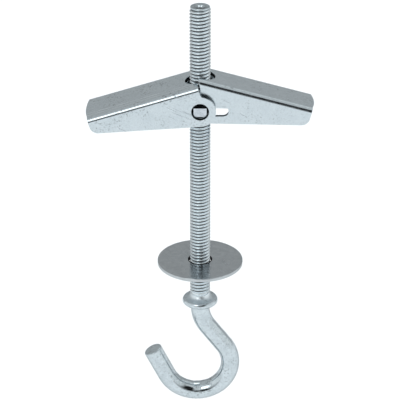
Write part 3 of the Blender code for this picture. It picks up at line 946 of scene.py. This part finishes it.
def spring_pieces():
    """Coils on the nut's stubs, a leg under each side of the inner wing, and the bridge."""
    material = spring_steel()
    start = tangent_angle(SPRING_LEG_X, SPRING_LEG_Z, 1.0)
    end = tangent_angle(SPRING_BRIDGE_X, SPRING_BRIDGE_Z, -1.0) + SPRING_TURNS * 2.0 * math.pi
    steps = SPRING_TURNS * 48
    coil = []
    for i, (x, z) in enumerate(arc(0.0, 0.0, SPRING_COIL_R, start, end, steps)):
        y = SPRING_OUTER_Y + (SPRING_INNER_Y - SPRING_OUTER_Y) * i / steps
        coil.append(Vector((x, y, z + PIVOT_Z)))
    tip = Vector((SPRING_LEG_X, SPRING_OUTER_Y, SPRING_LEG_Z + PIVOT_Z))
    leg = [tip + (coil[0] - tip) * i / 12.0 for i in range(13)]
    corner = arc(
        SPRING_BRIDGE_X + SPRING_CORNER_R, SPRING_INNER_Y - SPRING_CORNER_R, SPRING_CORNER_R,
        0.5 * math.pi, math.pi, 10,
    )
    turn = [Vector((x, y, SPRING_BRIDGE_Z + PIVOT_Z)) for x, y in corner]
    half = [coil[-1] + (turn[0] - coil[-1]) * i / 12.0 for i in range(12)] + turn
    flip = Matrix.Scale(-1.0, 4, (0.0, 1.0, 0.0))
    bridge = half + [flip @ p for p in reversed(half)]

    def wire(name, routes):
        meshes = [swept(name, route, SPRING_WIRE_R, SPRING_SIDES) for route in routes]
        return new_piece(name, join(name, meshes), material, 60.0)

    coils = wire("spring_coils", [coil, [flip @ p for p in coil]])
    legs = wire("spring_legs", [leg, [flip @ p for p in leg]])
    back = wire("spring_bridge", [bridge])
    for piece, body in ((coils, "toggle"), (legs, "inner_wing"), (back, "outer_wing")):
        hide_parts("torsion_spring")
        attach(piece, body)


# Studio

WORLD_COLOUR = (0.97, 1.0, 1.01, 1.0)
# Brightness of the surroundings between the panels.
BACK_GREY = 0.56
# Azimuth from the back towards +X, elevation, radius, softness (all in degrees), and brightness.
# Each panel covers the ones before it.
PANELS = (
    (105.0, 4.0, 38.0, 8.0, 0.95),
    (-105.0, 4.0, 38.0, 8.0, 0.95),
    (180.0, 52.0, 34.0, 8.0, 0.80),
    (60.0, 53.0, 17.0, 6.0, 0.85),
    (0.0, 66.0, 11.0, 4.0, 2.2),
    (-151.0, 38.0, 12.0, 3.0, 3.0),
    (153.0, 40.0, 12.0, 5.0, 0.0),
    (161.0, 28.0, 12.0, 5.0, 0.0),
    (166.0, 16.0, 10.0, 5.0, 0.0),
    (-171.0, 10.0, 12.0, 3.0, 0.0),
)
# Sockets of the Mix node when it mixes numbers.
MIX_FACTOR = 0
MIX_A = 2
MIX_B = 3
FLOOR_Z = -0.9
FLOOR_HALF_SIZE = 16.0
LENS_MM = 171.0
SENSOR_MM = 36.0
CAMERA_PLACE = (-0.00003, -0.49398, 0.26351)
CAMERA_TILT = math.radians(63.7)


def studio_world():
    """Grey surroundings with bright and dark panels. Behind the object the camera sees white."""
    world = bpy.data.worlds.new("studio")
    bpy.context.scene.world = world
    world.use_nodes = True
    tree = world.node_tree
    background = tree.nodes["Background"]
    background.inputs["Color"].default_value = WORLD_COLOUR
    place = tree.nodes.new("ShaderNodeTexCoord").outputs["Generated"]
    level = tree.nodes.new("ShaderNodeValue")
    level.outputs[0].default_value = BACK_GREY
    light = level.outputs[0]
    for azimuth, elevation, radius, soft, value in PANELS:
        a, e = math.radians(azimuth), math.radians(elevation)
        centre = (math.sin(a) * math.cos(e), math.cos(a) * math.cos(e), math.sin(e))
        dot = tree.nodes.new("ShaderNodeVectorMath")
        dot.operation = "DOT_PRODUCT"
        dot.inputs[1].default_value = centre
        tree.links.new(place, dot.inputs[0])
        edge = tree.nodes.new("ShaderNodeMapRange")
        edge.interpolation_type = "SMOOTHSTEP"
        edge.inputs["From Min"].default_value = math.cos(math.radians(radius + soft))
        edge.inputs["From Max"].default_value = math.cos(math.radians(max(0.0, radius - soft)))
        tree.links.new(dot.outputs["Value"], edge.inputs["Value"])
        mix = tree.nodes.new("ShaderNodeMix")
        mix.inputs[MIX_B].default_value = value
        tree.links.new(edge.outputs["Result"], mix.inputs[MIX_FACTOR])
        tree.links.new(light, mix.inputs[MIX_A])
        light = mix.outputs[0]
    path = tree.nodes.new("ShaderNodeLightPath")
    pick = tree.nodes.new("ShaderNodeMix")
    pick.inputs[MIX_B].default_value = 1.0
    tree.links.new(path.outputs["Is Camera Ray"], pick.inputs[MIX_FACTOR])
    tree.links.new(light, pick.inputs[MIX_A])
    tree.links.new(pick.outputs[0], background.inputs["Strength"])


def studio_floor():
    """A plain pale floor, far below the object."""
    mesh = bpy.data.meshes.new("floor")
    corners = ((-1.0, -1.0), (1.0, -1.0), (1.0, 1.0), (-1.0, 1.0))
    points = [(x * FLOOR_HALF_SIZE, y * FLOOR_HALF_SIZE, FLOOR_Z) for x, y in corners]
    mesh.from_pydata(points, [], [(0, 1, 2, 3)])
    g = Graph("floor_paint")
    tone = g.mix(g.noise(0.4, 2.0), (0.86, 0.86, 0.86), (0.88, 0.88, 0.88))
    g.link(tone, g.shader.inputs["Base Color"])
    g.shader.inputs["Roughness"].default_value = 0.9
    floor = new_piece("floor", mesh, g.material)


def floor_light():
    """A very soft light from above. It lights the floor, and gloss doesn't show it."""
    data = bpy.data.lights.new("floor_light", "SUN")
    data.energy = 1.5
    data.angle = math.radians(120.0)
    data.color = (0.95, 1.0, 1.04)
    light = bpy.data.objects.new("floor_light", data)
    light.location = (0.0, 0.0, 3.0)
    light.visible_glossy = False
    bpy.context.scene.collection.objects.link(light)


def studio_camera():
    data = bpy.data.cameras.new("camera")
    data.lens = LENS_MM
    data.sensor_width = SENSOR_MM
    data.clip_start = 0.01
    data.clip_end = 50.0
    camera = bpy.data.objects.new("camera", data)
    camera.location = CAMERA_PLACE
    camera.rotation_euler = (CAMERA_TILT, 0.0, 0.0)
    bpy.context.scene.collection.objects.link(camera)
    bpy.context.scene.camera = camera


hook_bolt()
washer()
outer_wing()
inner_wing()
trunnion_nut()
spring_pieces()
studio_world()
studio_floor()
floor_light()
studio_camera()
bpy.context.scene.view_settings.view_transform = "Standard"
